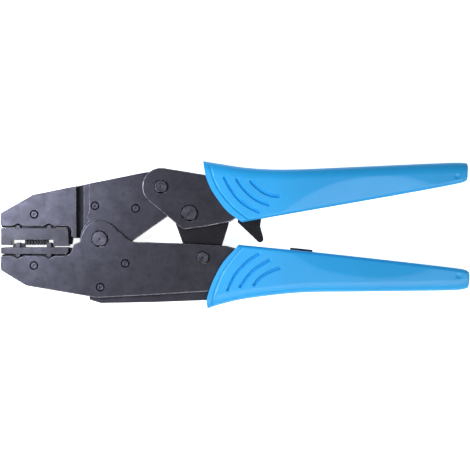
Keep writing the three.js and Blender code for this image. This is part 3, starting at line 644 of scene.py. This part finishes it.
def half_section(width, half, edges):
    """From the middle of the bottom edge over the front to the middle of the top edge."""
    sides = []
    for edge in edges:
        across, height = rounding(*edge, half, EDGE_SHARE[edge] * width)
        wall = np.array([*SEAM_STEPS, 0.5 * height[0] + SEAM_HALF])
        inwards = SEAM if edge == INNER_EDGE else -SEAM
        ridge = inwards * np.clip(SEAM_SHARP - SEAM_SHARP * wall / SEAM_HALF, 0, 1)
        sides.append((np.concatenate([ridge, across]), np.concatenate([wall, height])))
    (rise, rise_z), (fall, fall_z) = sides
    flat = np.linspace(rise[-1], width - fall[-1], FLAT_ROWS)[1:-1]
    across = np.concatenate([rise, flat, width - fall[::-1]])
    return across, np.concatenate([rise_z, np.full(len(flat), half), fall_z[::-1]])


def marks(place, grip):
    """How deep the grip's surface lies below its flat at each place, from all that is moulded in it."""
    rim = -signed_distance(place, Spline(grip["rim"]).polyline())
    depth = RIM_STEP * smooth_step(rim / RIM_WALL)
    depth += GROOVE_DEPTH * smooth_step((GROOVE_HALF - np.abs(rim)) / GROOVE_WALL)
    for slot in grip["slots"]:
        away = np.abs(signed_distance(place, Spline(slot).polyline()))
        depth += SLOT_DEPTH * smooth_step((SLOT_HALF - away) / SLOT_WALL)
    pad = signed_distance(place, Spline(grip["pad"]).polyline())
    depth += PAD_SLOPE * (pad + np.hypot(pad, PAD_SOFTNESS)) / 2
    away = np.linalg.norm(place - grip["dimple"], axis=1) / DIMPLE_R
    return depth + DIMPLE_DEPTH * np.clip(1 - away**2, 0, 1) ** 1.5


def bowed(front, share, along):
    """How far points at these shares of a section bulge to follow the front edge's curve,
    which fades out along the grip."""
    chord = front.points[0] + share[:, None] * (front.points[-1] - front.points[0])
    bow = (front.at(share) - chord) * (1 - along) ** 3
    bow[(share < 0) | (share > 1)] = 0
    return bow


def end_caps(around, last):
    """Faces that close the first and the last section, from the front's points to the back's."""
    faces = []
    for j in range(around // 2):
        strip = (j, j + 1, around - j - 1, (around - j) % around)
        faces.append(strip)
        faces.append([last + i for i in reversed(strip)])
    return [tuple(dict.fromkeys(face)) for face in faces]


def grip_skin(grip):
    """The points of the sleeve's skin, section by section, and its faces."""
    bottom, top, front = (Spline(grip[side]) for side in ("bottom", "top", "front"))
    sections = []
    for along in stations():
        low, high = bottom.at(along), top.at(along)
        width = np.linalg.norm(high - low)
        to_tail = min(1, (1 - along) * GRIP_LENGTH / TAIL_ROUND)
        half = MID - TAIL_ROUND + TAIL_ROUND * math.sqrt(1 - (1 - to_tail) ** 2)
        across, z = half_section(width, half, grip["edges"])
        share = across / width
        place = low + share[:, None] * (high - low) + bowed(front, share, along)
        sunk = z * (1 - marks(place, grip) / half)
        face = np.column_stack([place, sunk])
        back = (face * (1, 1, -1))[::-1][1:-1]
        sections.append(np.concatenate([face, back]))
    around = len(sections[0])
    faces = loft(len(sections), around) + end_caps(around, (len(sections) - 1) * around)
    return np.concatenate(sections), faces


def disc(centre, r, sides=64):
    """The outline of a round hollow."""
    turn = [2 * math.pi * i / sides for i in range(sides)]
    return [(centre[0] + r * math.cos(a), centre[1] + r * math.sin(a)) for a in turn]


PLATE_POCKET = 6.85  # half heights of what is hollowed out for the tangs
CORE_POCKET = 4.45
UPPER_POCKETS = [
    prism([
        (40, 5.5), (49.2, 5.4), (61.6, 7.8), (67.1, 11.4), (103.4, 19.2),
        (105.4, 21.5), (105.4, 26.5), (103.3, 28.4), (60, 28), (48.9, 30.4), (40, 32),
    ], PLATE_POCKET),
    prism([
        (84.7, 17), (149.4, 25.3), (150.5, 26.8), (150.5, 31), (149.2, 32.5), (84.7, 28.9),
    ], CORE_POCKET),
    prism(disc((42, 12.1), 21.2), 4.25),
    prism([(58, 4), (80.5, 4), (80.5, 15), (58, 15)], 1.7),
]
LOWER_POCKETS = [
    prism([
        (44, -25.6), (50, -25), (62, -23.3), (98.3, -19.8), (100.3, -17.5),
        (100.3, -13), (98.6, -10.8), (67.1, -5.1), (59.6, -3.0), (44, -2.7),
    ], PLATE_POCKET),
    prism([
        (44, -29.5), (56, -28.9), (80.1, -22.1), (149.3, -21.5), (150.5, -20), (150.5, -16),
        (149.2, -14.5), (95.9, -11.7), (61.9, -17.7), (58, -20.3), (44, -20.3),
    ], CORE_POCKET),
    prism([(89.3, -6.0), (99.6, -7.1), (99.8, -5.1), (89.5, -4.0)], 4.15),
]


def add_grip(name, grip, pockets, body, node):
    sleeve = add_mesh(name, *grip_skin(grip), "blue_grip")
    carve(sleeve, pockets)
    shade(sleeve)
    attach(sleeve, body)
    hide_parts(node)


# ---- Pins and rivets ----

PIN_FRONT = 8.1  # heights above the mid-plane
PLATE_FACE = 6.7
PIN_SIDES = 72  # points round every pin and rivet
PIN_ROUND = 0.45  # radius of the rounding of a pin's two ends
RING_GROOVE = (0.05, 0.9)  # where a pin's ring groove starts and ends, behind the back plate
RING_DEPTH = 0.5  # of that groove
STEP_WIDTH = 0.25  # of the ring cut into a pin's head
STEP_DEPTH = 0.12
SHADE_LINE_WIDTH = 0.12  # of the line of painted shade round a pin's head
RIVET_SHADE_FROM = 1.55  # radius from which a rivet's head is darkened with painted shade, for the shaded ring round it


def arc(centre, r, start, end, count=5):
    """Profile points (radius, height) on a circle, between two angles in degrees."""
    angles = [math.radians(start + (end - start) * i / (count - 1)) for i in range(count)]
    return [(centre[0] + r * math.cos(a), centre[1] + r * math.sin(a)) for a in angles]


def turned(name, place, profile, shade_radii, flats=()):
    """A body of revolution about an axis along Z. Its profile is (radius, height) from below upwards.
    Its radius within the shaded range, from the smaller to the larger, is darkened with painted shade.
    Above the plates each flat (degrees, share) pares it off in a direction, at that share of its radius."""
    rings = [(r, z) for r, z in profile if r > 0]
    angle = np.linspace(0, 2 * math.pi, PIN_SIDES, endpoint=False)
    circle = np.column_stack([np.cos(angle), np.sin(angle)])
    points = np.concatenate([np.column_stack([r * circle, np.full(PIN_SIDES, z)]) for r, z in rings])
    radius = np.linalg.norm(points[:, :2], axis=1)
    grime = (radius > shade_radii[0]) & (radius < shade_radii[1])
    proud = points[:, 2] > PLATE_FACE
    largest = max(r for r, _ in rings)
    for degrees, share in flats:
        way = np.array([math.cos(math.radians(degrees)), math.sin(math.radians(degrees))])
        over = np.clip(points[:, :2] @ way - share * largest, 0, None) * proud
        points[:, :2] -= over[:, None] * way
    n = len(rings)
    faces = [(a, d, c, b) for a, b, c, d in loft(n, PIN_SIDES)]
    centre = [(0, 0, profile[0][1]), (0, 0, profile[-1][1])]
    first, last = n * PIN_SIDES, (n - 1) * PIN_SIDES
    for j in range(PIN_SIDES):
        k = (j + 1) % PIN_SIDES
        faces.append((first, k, j))
        faces.append((first + 1, last + j, last + k))
    piece = add_mesh(name, np.concatenate([points, centre]) + (*place, 0), faces, "pin_steel")
    store(piece, "radius_mm", [*radius, 0, 0])
    store(piece, "grime", [*grime, 0, 0])
    shade(piece)
    return piece


def store(piece, name, values):
    """Keeps a number for each point of the mesh, for its material to read."""
    stored = piece.data.attributes.new(name, "FLOAT", "POINT")
    stored.data.foreach_set("value", np.array(values, np.float32))


def pin_profile(r, step, dimple):
    """A pivot pin: rounded ends, a ring groove at the back, and a stepped and dimpled head."""
    back = [(0, -MID), *arc((r - PIN_ROUND, PIN_ROUND - MID), PIN_ROUND, -90, 0)]
    high, low = (-PLATE_FACE - behind for behind in RING_GROOVE)
    waist = r - RING_DEPTH
    groove = [(r, low), (waist, low), (waist, high), (r, high)]
    head = arc((r - PIN_ROUND, PIN_FRONT - PIN_ROUND), PIN_ROUND, 0, 90)
    if step:
        inner, sunk = step - STEP_WIDTH, PIN_FRONT - STEP_DEPTH
        head += [(step + STEP_DEPTH, PIN_FRONT), (step, sunk)]
        head += [(inner, sunk), (inner - STEP_DEPTH, PIN_FRONT)]
    head += [(dimple, PIN_FRONT), (0.6 * dimple, PIN_FRONT - 0.2), (0, PIN_FRONT - 0.45)]
    return back + groove + head


RIVET_HEAD = [  # radii, and how far below the plate's face
    (1.2, 0.85), (1.98, 0.1), (1.92, 0.06), (1.78, 0.35), (1.66, 0.38), (1.5, 0.2),
    (1.42, 0.06), (1.3, 0), (0.62, 0), (0.5, 0.15), (0.25, 0.3), (0, 0.3),
]


def rivet_profile(half):
    """A rivet whose heads fill their countersinks but for a ring, with a hollow punched in each."""
    head = [(radius, half - sunk) for radius, sunk in RIVET_HEAD]
    return [(radius, -z) for radius, z in reversed(head)] + head


FLAT = (-90, 0.84)  # direction and share of the radius of the flat on every pin's head
PINS = {  # name: place, radius, radius of the ring in its head, radius of its dimple, flats, body
    "main_pivot_pin": ((0, 0), 3.65, 0, 0.5, (FLAT, (-150, 0.94), (-30, 0.96)), "lower_frame"),
    "handle_pivot_pin": ((28.7, 24.5), 3.0, 1.9, 0.7, (FLAT, (150, 0.93), (30, 0.95)), "upper_handle"),
    "link_upper_pin": (
        (42.0, 12.1), 3.75, 0, 0.45,
        (FLAT, (-150, 0.92), (-30, 0.92), (30, 0.93), (150, 0.93)), "upper_handle",
    ),
    "link_lower_pin": ((48.4, -8.7), 2.8, 0, 0.35, (FLAT, (180, 0.93), (0, 0.95)), "lower_frame"),
}
RIVETS = {  # name: place, half length, body
    "lower_die_rivet": ((-30.8, -12.5), 6.7, "lower_frame"),
    "lower_frame_rivet_1": ((0.3, -22.6), 6.7, "lower_frame"),
    "lower_frame_rivet_2": ((12.0, -11.5), 6.7, "lower_frame"),
    "upper_die_rivet": ((-30.7, 11.5), 6.7, "upper_jaw"),
    "upper_jaw_rivet_1": ((-2.4, 15.5), 4.0, "upper_jaw"),
    "upper_jaw_rivet_2": ((16.7, 14.3), 4.0, "upper_jaw"),
}


def add_pins():
    """The pivot pins and the rivets in sight, in place of the CAD model's."""
    for name, (place, r, step, dimple, flats, body) in PINS.items():
        profile = pin_profile(r, step, dimple)
        # The outer edge of each pin's head, and the ring round each rivet's head, get painted shade.
        pin = turned(name + "_turned", place, profile, (r - SHADE_LINE_WIDTH, r + 1), flats)
        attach(pin, body)
        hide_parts(name)
    for name, (place, half, body) in RIVETS.items():
        rivet = turned(name + "_set", place, rivet_profile(half), (RIVET_SHADE_FROM, 3))
        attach(rivet, body)
        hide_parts(name)


# ---- Springs ----


def add_wire(name, path, r):
    """A round wire along a smooth path of points, as a mesh."""
    curve = bpy.data.curves.new(name, "CURVE")
    curve.dimensions = "3D"
    curve.bevel_depth = r * MM
    curve.bevel_resolution = 3
    curve.use_fill_caps = True
    line = curve.splines.new("POLY")
    line.points.add(len(path) - 1)
    for point, (x, y, z) in zip(line.points, path):
        point.co = (x * MM, y * MM, (z + MID) * MM, 1)
    holder = bpy.data.objects.new(name + "_path", curve)
    bpy.context.scene.collection.objects.link(holder)
    bpy.context.view_layer.update()
    mesh = evaluated_copy(holder)
    bpy.data.objects.remove(holder)
    mesh.materials.clear()
    mesh.materials.append(MATERIALS["spring_steel"])
    piece = bpy.data.objects.new(name, mesh)
    bpy.context.scene.collection.objects.link(piece)
    shade(piece)
    return piece


COIL_STEPS = 20  # points in each turn of a coil

RETURN_START = (21.5, -15.2)  # the frame's spring pin
RETURN_END = (47.2, -13.6)  # the link's spring pin
RETURN_R = 2.1  # of its coil
RETURN_TURNS = 15
RETURN_LENGTH = 15.5  # of its coil
RETURN_HOOK = 1.95  # radius of the hook round each pin
RETURN_WIRE = 0.38


def hook(centre, out, across, start, sweep):
    """Points round a pin, from a start angle on, which is measured in degrees from out."""
    angles = [math.radians(start + sweep * i / 12) for i in range(13)]
    return [centre + RETURN_HOOK * (math.cos(a) * out + math.sin(a) * across) for a in angles]


def add_return_spring():
    """A close coil between two pins, with a hook round each."""
    start, end = Vector((*RETURN_START, 0)), Vector((*RETURN_END, 0))
    along = (end - start).normalized()
    across = Vector((-along.y, along.x, 0))
    up = Vector((0, 0, 1))
    middle = (start + end) / 2
    path = hook(start, -along, across, -100, 280)
    steps = RETURN_TURNS * COIL_STEPS
    for i in range(steps + 1):
        share = i / steps
        angle = 2 * math.pi * RETURN_TURNS * share
        r = RETURN_R * min(1, 0.15 + 6 * share, 0.15 + 6 * (1 - share))
        place = middle + along * RETURN_LENGTH * (share - 0.5)
        path.append(place + r * (math.cos(angle) * across + math.sin(angle) * up))
    path += hook(end, along, across, 180, -280)
    spring = add_wire("return_spring_coil", path, RETURN_WIRE)
    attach(spring, "lower_frame")
    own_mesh(spring)
    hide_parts("return_spring")


PAWL_COIL = (67.5, 22.0, 2.2)  # on the pawl's pin
PAWL_COIL_R = 2.3
PAWL_COIL_TURNS = 3
PAWL_COIL_LENGTH = 1.6
PAWL_WIRE = 0.28
FIXED_LEG = [(75, 24.9, 3.4), (70.5, 24.2, 3.2)]  # against the post in the handle
MOVING_LEG = [(71.0, 18.0, 1.9), (72.2, 15.4, 1.8)]  # against the pawl


def add_pawl_spring():
    """The torsion spring round the pawl's pin: one leg on the post, the other pressing the pawl."""
    centre = Vector(PAWL_COIL)
    path = [Vector(point) for point in FIXED_LEG]
    steps = PAWL_COIL_TURNS * COIL_STEPS
    for i in range(steps + 1):
        share = i / steps
        angle = math.radians(60) - 2 * math.pi * PAWL_COIL_TURNS * share
        x, y = PAWL_COIL_R * math.cos(angle), PAWL_COIL_R * math.sin(angle)
        path.append(centre + Vector((x, y, PAWL_COIL_LENGTH * (1 - share))))
    path += [Vector(point) for point in MOVING_LEG]
    spring = add_wire("pawl_spring_coil", path, PAWL_WIRE)
    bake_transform(spring)
    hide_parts("pawl_spring")


# ---- The whole scene ----

REPLACED = {"upper_grip", "lower_grip", "return_spring", "pawl_spring", *PINS, *RIVETS}
for part in frame["record"]["subparts"]:
    if part["node"] not in REPLACED:
        finish_solid(part["node"], part["material_slot"])
add_grip("upper_grip_sleeve", UPPER_GRIP, UPPER_POCKETS, "upper_handle", "upper_grip")
add_grip("lower_grip_sleeve", LOWER_GRIP, LOWER_POCKETS, "lower_frame", "lower_grip")
add_pins()
add_return_spring()
add_pawl_spring()

add_camera()
add_world(ROOM_LIGHT, ROOM_SHOWN)
for name, settings in LIGHTS.items():
    add_softbox(name, *settings)
add_floor()
bpy.context.scene.view_settings.view_transform = "Standard"
